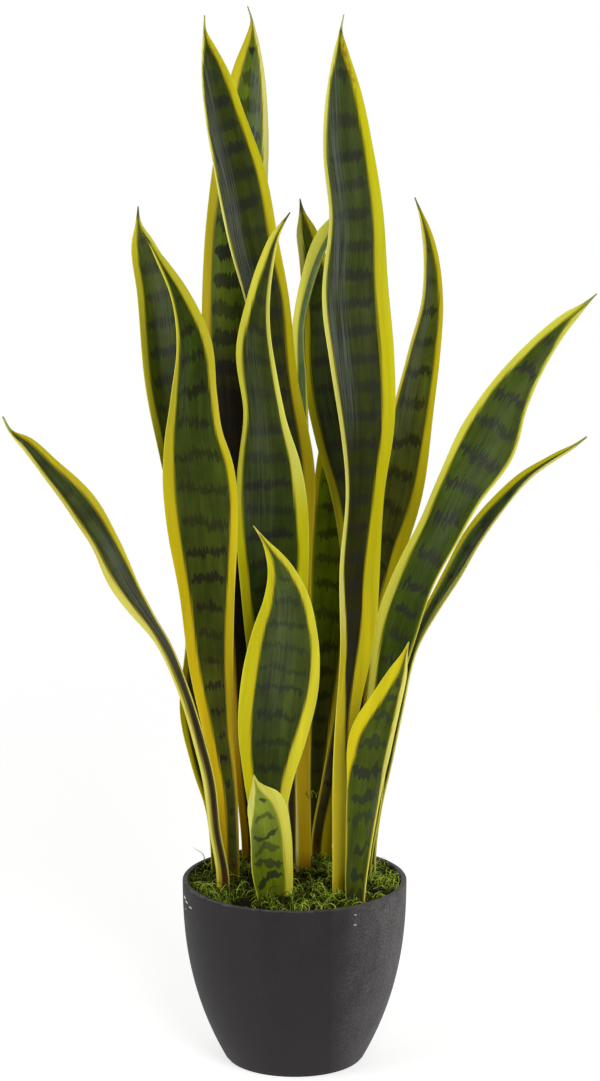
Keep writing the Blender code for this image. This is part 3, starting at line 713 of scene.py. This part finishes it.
            (367, 48, 40, 27, 6), (418, 41, 50, 30, 6), (453, 32, 63, 33, 5),
            (503, 23, 73, 34, 5), (548, 21, 79, 31, 5), (586, 13, 83, 20, 5),
            (607, 8, 85, 14, 5), (621, 5, 87, 5, 5), (628, 4, 88, 1.6, 5),
        ),
        "margins": ((136, 0.3, 0.2), (367, 0.2, 0.14), (453, 0.16, 0.13), (548, 0.16, 0.14),
                    (586, 0.19, 0.2), (607, 0.3, 0.3)),
        "greens": ("#282808", "#3E4A10"), "golds": ("#C2B20A", "#CCC81A"), "margin_highlight": (0.5, 0.0, 560),
        "bands": ("#272721", tuple(range(170, 600, 20)), 0.8, 0.8, 3.6, 1.5, 2.6, 2.0, 1.2),
        "sheen": (-0.2, 0.3, 420, 560), "tip": ("#5E5E20", 9, 0.15), "stain": 0.2,
    },
    "leaf_edge_on": {
        "cup": 0.12, "wave": 1.2, "phase": 3.0,
        "stations": (
            (140, 3, 38, 12, -30), (216, 2, 41, 14, -30), (293, 2, 45, 18, -32),
            (368, 2, 49, 21, -34), (436, 2, 51, 22, -42), (502, 3, 50, 23, -62),
            (543, 3, 48, 23, -68), (570, 8, 46, 24, -68), (601, 18, 43, 22, -66),
            (616, 26, 41, 14, -62), (628, 32, 40, 1.6, -60),
        ),
        "margins": ((136, 0.3, 0.3), (400, 0.3, 0.2), (502, 0.45, 0.04), (543, 0.55, 0.0),
                    (600, 0.65, 0.0), (616, 0.7, 0.0)),
        "greens": ("#2C2C0C", "#4C6C2C"), "golds": ("#C09A06", "#F0F04A"), "margin_highlight": (0.2, 0.0, 500),
        "bands": ("#24281C", tuple(range(170, 610, 20)), 0.5, 0.3, 3.0, 1.6, 2.6, 2.0, 1.0),
        "sheen": (0.2, 0.15, 450, 600), "tip": ("#8A8C3C", 7, 0.05), "stain": 0.2,
    },
    "leaf_right_back": {
        "cup": 0.12, "wave": 2.0, "phase": 2.0,
        "stations": (
            (144, 20, 44, 16, 10), (194, 28, 47, 18, 15), (251, 40, 51, 21, 18),
            (303, 52, 56, 26, 18), (364, 65, 60, 32, 20), (415, 77, 64, 37, 20),
            (466, 86, 67, 36, 25), (517, 95, 71, 31, 35), (556, 101, 77, 22, 48),
            (599, 98, 84, 12, 50), (619, 92, 87, 5, 50), (629, 88, 88, 1.6, 50),
        ),
        "margins": ((136, 0.05, 0.5), (251, 0.05, 0.4), (374, 0.04, 0.28), (400, 0.04, 0.22),
                    (442, 0.05, 0.17), (480, 0.06, 0.14), (530, 0.09, 0.14), (580, 0.13, 0.22),
                    (605, 0.28, 0.38)),
        "greens": ("#3A3606", "#444E10"), "golds": ("#E4D40E", "#CCBE0A"), "margin_highlight": (0.3, 0.0, 480),
        "bands": ("#151006", (150, 175, 196, 217, 238, 258, 278, 298, 318, 338, 358, 377, 401, 426,
                              451, 480, 503, 524), 0.9, 0.7, 3.2, 1.0, 2.6, 2.2, 1.8),
        "sheen": (-0.3, 0.45, 430, 600), "tip": ("#76782A", 9, 0.1), "stain": 0.2,
    },
    "leaf_inner_back": {
        "cup": 0.12, "wave": 1.5, "phase": 0.8,
        "stations": (
            (138, 18, 60, 15, 0), (209, 19, 64, 18, 5), (270, 23, 68, 24, 5),
            (330, 26.5, 72, 31, 5), (390, 30, 77, 34.5, 5), (431, 30, 81, 28, 5),
            (460, 29, 84, 15, 5), (482, 29, 86, 1.6, 5),
        ),
        "margins": ((136, 0.1, 0.4), (270, 0.05, 0.15), (330, 0.05, 0.1), (400, 0.08, 0.1),
                    (455, 0.25, 0.25)),
        "greens": ("#34360A", "#6C8404"), "golds": ("#DCC41C", "#CCC814"), "margin_highlight": (0.0, 0.0, 0),
        "bands": ("#212311", (180, 200, 220, 240, 258, 276, 294, 319, 342, 360, 379, 400), 0.9, 0.7,
                  3.2, 0.8, 2.5, 2.2, 1.4),
        "sheen": (-0.2, 0.15, 330, 430), "tip": ("#76782A", 8, 0.3), "stain": 0.2,
    },
    "leaf_leaning_right": {
        "cup": 0.12, "wave": 2.0, "phase": 1.8,
        "stations": (
            (143, 50, 4, 14, -20), (188, 54, 4, 19, -22), (234, 59, 3, 22, -24),
            (280, 65, 1, 26, -26), (324, 73, -2, 33, -28), (363, 86, -5, 32, -28),
            (400, 104, -8, 34, -28), (433, 119, -12, 38, -26), (466, 137, -16, 44, -24),
            (498, 151, -20, 33, -24), (531, 171, -25, 21, -24), (557, 192, -30, 11, -24),
            (569, 205, -33, 5, -24), (577, 213, -35, 1.6, -24),
        ),
        "margins": ((136, 0.2, 0.02), (300, 0.21, 0.02), (350, 0.2, 0.02), (385, 0.16, 0.03),
                    (415, 0.11, 0.04), (450, 0.11, 0.04), (500, 0.13, 0.05), (540, 0.25, 0.09),
                    (560, 0.42, 0.28)),
        "greens": ("#344408", "#3A4812"), "golds": ("#CABE0E", "#CACA10"), "margin_highlight": (0.25, 0.3, 0),
        "bands": ("#2A2C25", (180, 200, 221, 242, 263, 284, 302, 321, 340, 359, 381, 409, 434, 455,
                              478, 500, 521), 1.0, 1.0, 3.2, 0.5, 2.4, 3.6, 1.4),
        "sheen": (0.0, 0.15, 350, 520), "tip": ("#8A8C34", 12, 0.15), "stain": 0.1,
    },
    "leaf_arching_right": {
        "cup": 0.14, "wave": 1.0, "phase": 4.4,
        "stations": (
            (140, 55, 23, 12, -30), (184, 59, 22, 14, -40), (220, 67, 22, 16, -55),
            (259, 75, 22, 16, -62), (309, 87, 22, 16, -64), (338, 102, 23, 18, -60),
            (361, 115, 24, 22, -58), (387, 129, 26, 22, -56), (412, 148, 29, 19, -58),
            (433, 169, 33, 14, -60), (445, 188, 36, 9, -60), (454, 204, 38, 5, -55),
            (460, 213, 40, 1.6, -55),
        ),
        "margins": ((136, 0.25, 0.1), (300, 0.2, 0.13), (335, 0.17, 0.2), (360, 0.17, 0.18),
                    (390, 0.22, 0.1), (420, 0.36, 0.08), (445, 0.48, 0.2)),
        "greens": ("#33431A", "#3C4C20"), "golds": ("#CCC60E", "#C8C20C"), "margin_highlight": (0.0, 0.7, 0),
        "bands": ("#25271E", tuple(range(160, 450, 20)), 0.9, 0.8, 3.2, 0.8, 2.5, 2.0, 1.2),
        "sheen": (0.45, 0.7, 280, 410), "tip": ("#9A9A38", 10, 0.1), "stain": 0.2, "pleats": 0.35,
    },
}


def blade_rows(stations):
    """Rows of x, y, z, width and turn, read from a smooth curve through the stations."""
    knots = np.array([(x, y, z, width, 0) for z, x, y, width, turn in stations]) * MM
    knots[:, 4] = [math.radians(station[4]) for station in stations]
    gaps = np.linalg.norm(np.diff(knots[:, :3], axis=0), axis=1)
    along = np.concatenate([[0], np.cumsum(gaps)])
    slopes = np.gradient(knots, along, axis=0)
    slopes[0, :3] = (0, 0, 1)
    rows, places = [], []
    for i, gap in enumerate(gaps):
        steps = math.ceil(gap / ROW_LENGTH)
        for t in np.arange(steps) / steps:
            rise, fall = t * t * (3 - 2 * t), t * t * (t - 1)
            swing = t * (1 - t) ** 2
            row = knots[i] + rise * (knots[i + 1] - knots[i])
            rows.append(row + gap * (swing * slopes[i] + fall * slopes[i + 1]))
            places.append(along[i] + t * gap)
    rows.append(knots[-1])
    places.append(along[-1])
    return np.array(rows), np.array(places)


def smooth_step(value):
    """Rises smoothly from 0 to 1 as the value does."""
    value = min(1, max(0, value))
    return value * value * (3 - 2 * value)


def blade_frame(tangent, turn):
    """The blade's directions across it, to its right edge, and out of its front face."""
    tangent = Vector(tangent).normalized()
    right = Vector((1, 0, 0))
    right = (right - right.dot(tangent) * tangent).normalized()
    back = tangent.cross(right)
    across = math.cos(turn) * right + math.sin(turn) * back
    return across, across.cross(tangent)


def blade_depth(side, width, place, leaf):
    """How far the middle surface stands forward there: its hollow, rippled edges and pleats."""
    cup = BASE_CUP + (leaf["cup"] - BASE_CUP) * smooth_step(place / BASE_LENGTH)
    wave = leaf["wave"] * MM * min(1, width / FULL_WIDTH) * smooth_step(place / BASE_LENGTH)
    swing = math.sin(math.tau * place / WAVE_LENGTH + leaf["phase"] + WAVE_OFFSET * side)
    pleat = leaf.get("pleats", 0) * MM * math.cos(3 * math.pi * side) * (1 - side**4)
    return cup * width * (side**2 - 1) + wave * abs(side) ** 3 * swing + pleat


def blade_ring(row, tangent, place, left, leaf):
    """Points round the blade's section, where this much of its length is left to its tip."""
    centre, width = Vector(row[:3]), row[3]
    across, front = blade_frame(tangent, row[4])
    taper = smooth_step(left / TIP_TAPER)
    half = (TIP_THICKNESS + (BLADE_THICKNESS - TIP_THICKNESS) * taper) / 2
    span = width * (TIP_NARROWING + (1 - TIP_NARROWING) * taper)
    fronts, backs = [], []
    for side in FRONT_SIDES:
        middle = centre + across * (side * span / 2) + front * blade_depth(side, width, place, leaf)
        thick = half * (1 - abs(side) ** EDGE_FULLNESS) ** 0.5
        fronts.append(middle + front * thick)
        backs.append(middle - front * thick)
    return fronts + backs[-2:0:-1]


def margin_end(seen, share):
    """The place across the blade where its left margin ends, from its share of the front view."""
    wanted = min(seen) + share * (max(seen) - min(seen))
    for i in range(STRIPS):
        if seen[i + 1] >= wanted:
            part = (wanted - seen[i]) / (seen[i + 1] - seen[i] or 1)
            strip = FRONT_SIDES[i + 1] - FRONT_SIDES[i]
            return FRONT_SIDES[i] + min(1, max(0, part)) * strip
    return -1.0


def band_place(height, rungs):
    """A count that is whole at each band's height, and goes on past the last ones."""
    step = (rungs[-1] - rungs[0]) / (len(rungs) - 1)
    if height < rungs[0]:
        return (height - rungs[0]) / step
    if height > rungs[-1]:
        return len(rungs) - 1 + (height - rungs[-1]) / step
    return float(np.interp(height, rungs, range(len(rungs))))


# What is stored with each point beside its place on the blade: how far it is inside the nearer
# margin, the count of the bands, the painted sheen, how far it is from the tip, its share of the
# blade's length, how much its margin is painted paler as a highlight, and how far it is from the edge
MARKS = ("margin", "band", "sheen", "tip", "rise", "margin_highlight", "edge")
SHEEN_REACH = 0.5
# In millimetres along the blade
SHEEN_RISE = 60
SHEEN_FALL = 30
HIGHLIGHT_RISE = 50


def blade_marks(rings, rows, places, leaf, seed):
    """What the finish needs at each point: its place on the blade, and what is painted there."""
    heights, lefts, rights = zip(*leaf["margins"])
    middle, strength, low, high = leaf["sheen"]
    highlight_left, highlight_right, highlight_low = leaf["margin_highlight"]
    rungs = leaf["bands"][1]
    marks = {name: [] for name in ("blade", *MARKS)}
    for ring, row, place in zip(rings, rows, places):
        height, width = row[2] / MM, row[3] / MM
        seen = [(p.x - EYE.x) / (p.y - EYE.y) for p in ring[: STRIPS + 1]]
        left_end = margin_end(seen, np.interp(height, heights, lefts))
        mirrored = [-share for share in reversed(seen)]
        right_end = -margin_end(mirrored, np.interp(height, heights, rights))
        # The painted sheen, a painted reflection of the light, between its lowest and highest point
        painted_sheen = strength * smooth_step((height - low) / SHEEN_RISE)
        painted_sheen *= smooth_step((high - height) / SHEEN_FALL)
        # The painted highlight on the margins, which starts at its height
        highlight = smooth_step((height - highlight_low) / HIGHLIGHT_RISE + 0.5)
        for side in RING_SIDES:
            inside = max(left_end - side, side - right_end) * width / 2
            marks["blade"].append((side * row[3] / 2, place, seed))
            marks["margin"].append(inside)
            marks["band"].append(band_place(height, rungs))
            marks["sheen"].append(painted_sheen * max(0, 1 - ((side - middle) / SHEEN_REACH) ** 2))
            marks["tip"].append((places[-1] - place) / MM)
            marks["rise"].append(place / places[-1])
            marks["margin_highlight"].append(highlight * (highlight_left if side < 0 else highlight_right))
            marks["edge"].append((1 - abs(side)) * width / 2)
    return marks


# The skin's fine streaks, broad streaks, clouds and specks: how far apart and how long they are in
# millimetres, and their detail
GRAINS = ((1.0, 62.5, 3), (5.263, 83.33, 2), (16.67, 22.22, 3), (2.381, 6.25, 3))
RIB_DEPTH = 0.25 * MM
SWELL_DEPTH = 0.8 * MM
STEEPEST_BAND = 0.12
# Odd strides through the noise, which keep the patterns of the leaves and of their bands apart
LEAF_STRIDE = 37
BAND_STRIDE = 7.3
SHEET_STRIDE = 3.1
BEND_SHEET = 5
UPPER_SHEET = 11
LOWER_SHEET = 23
STAIN_TOP = 20 * MM
STAIN_FULL = 6 * MM
STAIN_RAGGEDNESS = 12 * MM


def painted_blade(name, leaf):
    """Satin moulded polyethylene: the skin's fine lengthwise ribs draw its shine out into streaks."""
    ink, rungs, low_ink, high_ink, half, blur, tooth, reach, bend = leaf["bands"]
    spacing = (rungs[-1] - rungs[0]) / (len(rungs) - 1)
    spike, spike_length, rust = leaf["tip"]
    # The darker greens and deeper golds near the base are partly painted shade, for the shade low in
    # the clump
    low_green, high_green = (colour(text) for text in leaf["greens"])
    low_gold, high_gold = (colour(text) for text in leaf["golds"])
    material, tree, surface = new_material(name, IOR=1.46, Roughness=0.45, Specular_IOR_Level=0.13)
    blade = node(tree, "Attribute", attribute_name="blade").outputs["Vector"]
    margin, band, sheen, tip, rise, margin_highlight, edge = (
        node(tree, "Attribute", attribute_name=mark).outputs["Fac"] for mark in MARKS
    )
    spot = node(tree, "SeparateXYZ", {"Vector": blade})
    seed = spot.outputs["Z"]
    grains = []
    for apart, length, detail in GRAINS:
        stretch = (1 / (apart * MM), 1 / (length * MM), 1)
        drawn = node(tree, "VectorMath", {0: blade, 1: stretch}, operation="MULTIPLY")
        grains.append(node(tree, "TexNoise", {"Vector": drawn, "Scale": 1.0, "Detail": detail}))
    fine, broad, cloud, speck = grains

    # The green middle, from the base's green to the tip's; the base's darker green is partly painted
    # shade
    greening_from, greening_to = leaf.get("greening", (0.3, 0.8))
    aloft = node(tree, "MapRange", {"Value": rise, "From Min": greening_from,
                                    "From Max": greening_to})
    green = node(tree, "Mix", {"Factor": aloft, "A": low_green, "B": high_green}, data_type="RGBA")
    streak = node(tree, "Math", {0: fine, 1: 0.6, 2: broad}, operation="MULTIPLY_ADD")
    streak = node(tree, "MapRange", {"Value": streak, "From Min": 0.55, "From Max": 1.05,
                                     "To Min": 0.75, "To Max": 1.35})
    cloudy = node(tree, "MapRange", {"Value": cloud, "From Min": 0.3, "From Max": 0.7,
                                     "To Min": 0.75, "To Max": 1.3})
    uneven = node(tree, "Math", {0: streak, 1: cloudy}, operation="MULTIPLY")
    green = node(tree, "VectorMath", {0: green, "Scale": uneven}, operation="SCALE")

    # How far above or below its band's middle line a point is, in millimetres. The line bends, and
    # each band has a tilt and a strength of its own.
    index = node(tree, "Math", {0: band}, operation="ROUND")
    across = node(tree, "Math", {0: spot.outputs["X"], 1: 1 / MM}, operation="MULTIPLY")
    count = node(tree, "Math", {0: seed, 1: LEAF_STRIDE, 2: index}, operation="MULTIPLY_ADD")
    chance = node(tree, "TexWhiteNoise", {"W": count}, noise_dimensions="1D").outputs["Value"]
    slope = node(tree, "Math", {0: chance, 1: 2 * STEEPEST_BAND, 2: -STEEPEST_BAND},
                 operation="MULTIPLY_ADD")
    tilt = node(tree, "Math", {0: across, 1: slope}, operation="MULTIPLY")
    off = node(tree, "Math", {0: band, 1: index}, operation="SUBTRACT")
    off = node(tree, "Math", {0: off, 1: spacing}, operation="MULTIPLY")
    row = node(tree, "Math", {0: index, 1: BAND_STRIDE}, operation="MULTIPLY")
    jags = []
    for width, layer, size in ((tooth * 4, BEND_SHEET, bend), (tooth / 2, UPPER_SHEET, reach),
                               (tooth / 2, LOWER_SHEET, reach)):
        column = node(tree, "Math", {0: across, 1: width}, operation="DIVIDE")
        sheet = node(tree, "Math", {0: seed, 1: SHEET_STRIDE, 2: layer}, operation="MULTIPLY_ADD")
        cell = node(tree, "CombineXYZ", {"X": column, "Y": row, "Z": sheet})
        jag = node(tree, "TexNoise", {"Vector": cell, "Scale": 1.0, "Detail": 1})
        jags.append(node(tree, "MapRange", {"Value": jag, "From Min": 0.3, "From Max": 0.7,
                                            "To Min": -size, "To Max": size}))
    bent, upper, lower = jags
    for shift in (tilt, bent):
        off = node(tree, "Math", {0: off, 1: shift}, operation="SUBTRACT")

    # The band's toothed upper and lower edges, and its ends
    above = node(tree, "Math", {0: upper, 1: off}, operation="SUBTRACT")
    below = node(tree, "Math", {0: lower, 1: off}, operation="ADD")
    inside = node(tree, "Math", {0: above, 1: below}, operation="MINIMUM")
    ends = node(tree, "MapRange", {"Value": margin, "From Min": -0.6, "From Max": -5.0,
                                   "To Min": -1.0, "To Max": half})
    inside = node(tree, "Math", {0: inside, 1: ends}, operation="ADD")
    inked = node(tree, "MapRange", {"Value": inside, "From Min": -blur, "From Max": blur},
                 interpolation_type="SMOOTHSTEP")
    fade = node(tree, "MapRange", {"Value": rise, "To Min": low_ink, "To Max": high_ink})
    strength = node(tree, "MapRange", {"Value": chance, "To Min": 0.6})
    for share in (fade, strength):
        inked = node(tree, "Math", {0: inked, 1: share}, operation="MULTIPLY")

    # The sheen, a painted reflection of the light with a little greyish bloom, lies over the bands
    sheen_and_bloom = node(tree, "MapRange", {"Value": fine, "From Min": 0.4, "From Max": 0.62,
                                      "To Min": 0.1})
    sheen_and_bloom = node(tree, "Math", {0: sheen_and_bloom, 1: sheen}, operation="MULTIPLY")

    # The margins: olive where the two sprays overlap, then gold and yellow, painted paler as a
    # highlight where they catch the light, and with a painted highlight along the edge
    ragged = node(tree, "MapRange", {"Value": fine, "From Min": 0.3, "From Max": 0.7,
                                     "To Min": -0.6, "To Max": 0.6})
    depth = node(tree, "Math", {0: margin, 1: ragged}, operation="ADD")
    # The gold, deeper near the base partly as painted shade
    gold = node(tree, "Mix", {"Factor": rise, "A": low_gold, "B": high_gold}, data_type="RGBA")
    olive = node(tree, "Mix", {"Factor": 0.4, "A": low_green, "B": gold}, data_type="RGBA")
    patchy = node(tree, "MapRange", {"Value": broad, "From Min": 0.3, "From Max": 0.7,
                                     "To Min": 0.8, "To Max": 1.0})
    gilt = node(tree, "VectorMath", {0: gold, "Scale": patchy}, operation="SCALE")
    inner = node(tree, "MapRange", {"Value": margin, "From Min": 2.6, "From Max": 0.2,
                                    "To Max": 0.35})
    highlighted = node(tree, "Math", {0: margin_highlight, 1: 0.75}, operation="MULTIPLY")
    for share, tint in ((inner, OLD_GOLD), (highlighted, HIGHLIGHT_CREAM)):
        gilt = node(tree, "Mix", {"Factor": share, "A": gilt, "B": colour(tint)}, data_type="RGBA")
    to_olive = node(tree, "MapRange", {"Value": depth, "From Min": -1.6, "From Max": -0.1},
                    interpolation_type="SMOOTHSTEP")
    to_gilt = node(tree, "MapRange", {"Value": depth, "From Min": -0.4, "From Max": 0.7},
                   interpolation_type="SMOOTHSTEP")
    # The painted highlight along the very edge
    to_edge_highlight = node(tree, "MapRange", {"Value": edge, "From Min": 0.7, "From Max": 0.15,
                                       "To Max": 0.5})

    # Rust along the right margin under the tip, the dry spike, and the stain just over the moss
    rusty = rust
    for value, start, end in ((tip, 75, 20), (margin, -2.5, 0.5), (margin, 3.5, 1.0),
                              (speck, 0.42, 0.58), (spot.outputs["X"], 0, 2 * MM)):
        share = node(tree, "MapRange", {"Value": value, "From Min": start, "From Max": end})
        rusty = node(tree, "Math", {0: share, 1: rusty}, operation="MULTIPLY")
    ragged_tip = node(tree, "Math", {0: cloud, 1: 9.0, 2: tip}, operation="MULTIPLY_ADD")
    browned = node(tree, "MapRange", {"Value": ragged_tip, "From Min": spike_length + 12,
                                      "From Max": spike_length + 5, "To Max": rust})
    spiked = node(tree, "MapRange", {"Value": tip, "From Min": spike_length + 2,
                                     "From Max": spike_length - 2})
    low = node(tree, "Math", {0: cloud, 1: STAIN_RAGGEDNESS, 2: spot.outputs["Y"]},
               operation="MULTIPLY_ADD")
    stained = node(tree, "MapRange", {"Value": low, "From Min": STAIN_TOP, "From Max": STAIN_FULL,
                                      "To Max": leaf["stain"]})

    # Each coat goes over the ones before it
    painted = green
    for share, coat in ((inked, colour(ink)), (sheen_and_bloom, colour(SHEEN_AND_BLOOM_GREY)), (to_olive, olive),
                        (to_gilt, gilt), (to_edge_highlight, colour(EDGE_HIGHLIGHT)), (rusty, colour(RUST)),
                        (browned, colour(DEAD_BROWN)), (spiked, colour(spike)),
                        (stained, colour(MOSS_STAIN))):
        painted = node(tree, "Mix", {"Factor": share, "A": painted, "B": coat}, data_type="RGBA")

    rough = node(tree, "MapRange", {"Value": fine, "From Min": 0.3, "From Max": 0.7,
                                    "To Min": 0.38, "To Max": 0.54})
    ribs = node(tree, "Bump", {"Height": fine, "Strength": 0.35, "Distance": RIB_DEPTH})
    swell = node(tree, "Bump", {"Height": broad, "Strength": 0.5, "Distance": SWELL_DEPTH,
                                "Normal": ribs})
    feed(tree, surface, {"Base Color": painted, "Roughness": rough, "Normal": swell})
    return material


MAP_INSET = 0.01


def blade_map(mesh, rings):
    """A map of the blade laid flat: its front face in the left half and its back in the right."""
    around = len(RING_SIDES)
    layer = mesh.uv_layers.new(name="OFBake")
    spots = np.zeros((len(mesh.loops), 2), np.float32)
    for face in mesh.polygons:
        corners = [(mesh.loops[k].vertex_index // around, mesh.loops[k].vertex_index % around)
                   for k in face.loop_indices]
        back = max(c for _, c in corners) > STRIPS or len(corners) > 4
        for k, (ring, c) in zip(face.loop_indices, corners):
            across = ((around - c) % around if back else c) / STRIPS
            along = ring / (rings - 1)
            spots[k] = (MAP_INSET + (0.5 - 2 * MAP_INSET) * across + 0.5 * back,
                        MAP_INSET + (1 - 2 * MAP_INSET) * along)
    layer.uv.foreach_set("vector", spots.ravel())


def make_leaf(name, leaf, seed):
    """A blade on its straight foot, closed at both ends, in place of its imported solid."""
    rows, places = blade_rows(leaf["stations"])
    tangents = np.gradient(rows[:, :3], places, axis=0)
    tangents[0] = (0, 0, 1)
    rings = [blade_ring(row, tangent, place, places[-1] - place, leaf)
             for row, tangent, place in zip(rows, tangents, places)]
    marks = blade_marks(rings, rows, places, leaf, seed)
    around = len(RING_SIDES)
    rings.insert(0, [Vector((p.x, p.y, LEAF_FOOT)) for p in rings[0]])
    for values in marks.values():
        values[:0] = values[:around]
    vertices = [p for ring in rings for p in ring]
    faces = [list(range(around))]
    for i in range(len(rings) - 1):
        for j in range(around):
            k = (j + 1) % around
            low, high = i * around, (i + 1) * around
            faces.append((high + k, high + j, low + j, low + k))
    last = (len(rings) - 1) * around
    faces.append([last + j for j in reversed(range(around))])
    piece = new_piece("blade_" + name.removeprefix("leaf_"), vertices, faces,
                      painted_blade("painted_" + name, leaf))
    set_marks(piece.data, marks)
    blade_map(piece.data, len(rings))
    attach(piece, "root")
    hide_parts(name)


for seed, (leaf_name, leaf_form) in enumerate(LEAVES.items()):
    make_leaf(leaf_name, leaf_form, seed)

# The stage
#
# A pale studio floor that fades into the white round it, a broad soft light high on the right and a
# weaker one on the left. The room is dark in front, so the leaves' shine is faint from there. The
# camera stands 2.8 m in front and 0.24 m above the highest tip, and looks slightly down.

FLOOR_RADIUS = 1.3
FLOOR_SIDES = 64
BOARD_WHITE = "#CFCFCD"
GLOW_WHITE = "#FFFFFF"
PLANT_MIDDLE = Vector((0, 0, 0.4))
LENS = 132.1
SENSOR_WIDTH = 36
LOOKS_DOWN = 12.46


def pale_floor():
    """White board, which glows a little so that it is as white as the room where no shadow falls."""
    material, tree, surface = new_material("pale_floor", Roughness=0.8, Emission_Strength=0.6)
    place = node(tree, "TexCoord").outputs["Object"]
    out = node(tree, "VectorMath", {0: place}, operation="LENGTH")
    seen = node(tree, "MapRange", {"Value": out.outputs["Value"], "From Min": FLOOR_RADIUS,
                                   "From Max": 0.5 * FLOOR_RADIUS}, interpolation_type="SMOOTHSTEP")
    feed(tree, surface, {"Base Color": colour(BOARD_WHITE), "Emission Color": colour(GLOW_WHITE),
                         "Alpha": seen})
    angles = [math.tau * i / FLOOR_SIDES for i in range(FLOOR_SIDES)]
    corners = [(FLOOR_RADIUS * math.cos(a), FLOOR_RADIUS * math.sin(a), 0) for a in angles]
    new_piece("floor", corners, [list(range(FLOOR_SIDES))], material)


def soft_light(name, place, size, power):
    """A rectangular light that faces the middle of the plant: metres and watts."""
    light = bpy.data.lights.new(name, "AREA")
    light.shape = "RECTANGLE"
    light.size, light.size_y = size
    light.energy = power
    lamp = bpy.data.objects.new(name, light)
    lamp.location = place
    lamp.rotation_euler = (PLANT_MIDDLE - Vector(place)).to_track_quat("-Z", "Y").to_euler()
    bpy.context.scene.collection.objects.link(lamp)


def white_studio():
    """A room that looks plain white, and lights the plant from behind more than from in front."""
    world = bpy.data.worlds.new("white_studio")
    world.use_nodes = True
    tree = world.node_tree
    way = node(tree, "TexCoord").outputs["Generated"]
    back = node(tree, "SeparateXYZ", {"Vector": way}).outputs["Y"]
    glow = node(tree, "MapRange", {"Value": back, "From Min": -0.5, "From Max": 0.7, "To Min": 0.1,
                                   "To Max": 0.7})
    shown = node(tree, "LightPath").outputs["Is Camera Ray"]
    strength = node(tree, "Mix", {"Factor": shown, "A": glow, "B": 1.0})
    feed(tree, tree.nodes["Background"], {"Strength": strength, "Color": colour(GLOW_WHITE)})
    bpy.context.scene.world = world


pale_floor()
white_studio()
soft_light("key", (0.95, -2.3, 1.8), (1.5, 1.8), 54)
soft_light("fill", (-2.1, -1.2, 1.2), (1.4, 1.6), 34)

camera = bpy.data.objects.new("camera", bpy.data.cameras.new("camera"))
camera.data.lens = LENS
camera.data.sensor_width = SENSOR_WIDTH
camera.location = EYE
camera.rotation_euler = (math.radians(90 - LOOKS_DOWN), 0, 0)
bpy.context.scene.collection.objects.link(camera)
bpy.context.scene.camera = camera
bpy.context.scene.view_settings.view_transform = "Standard"
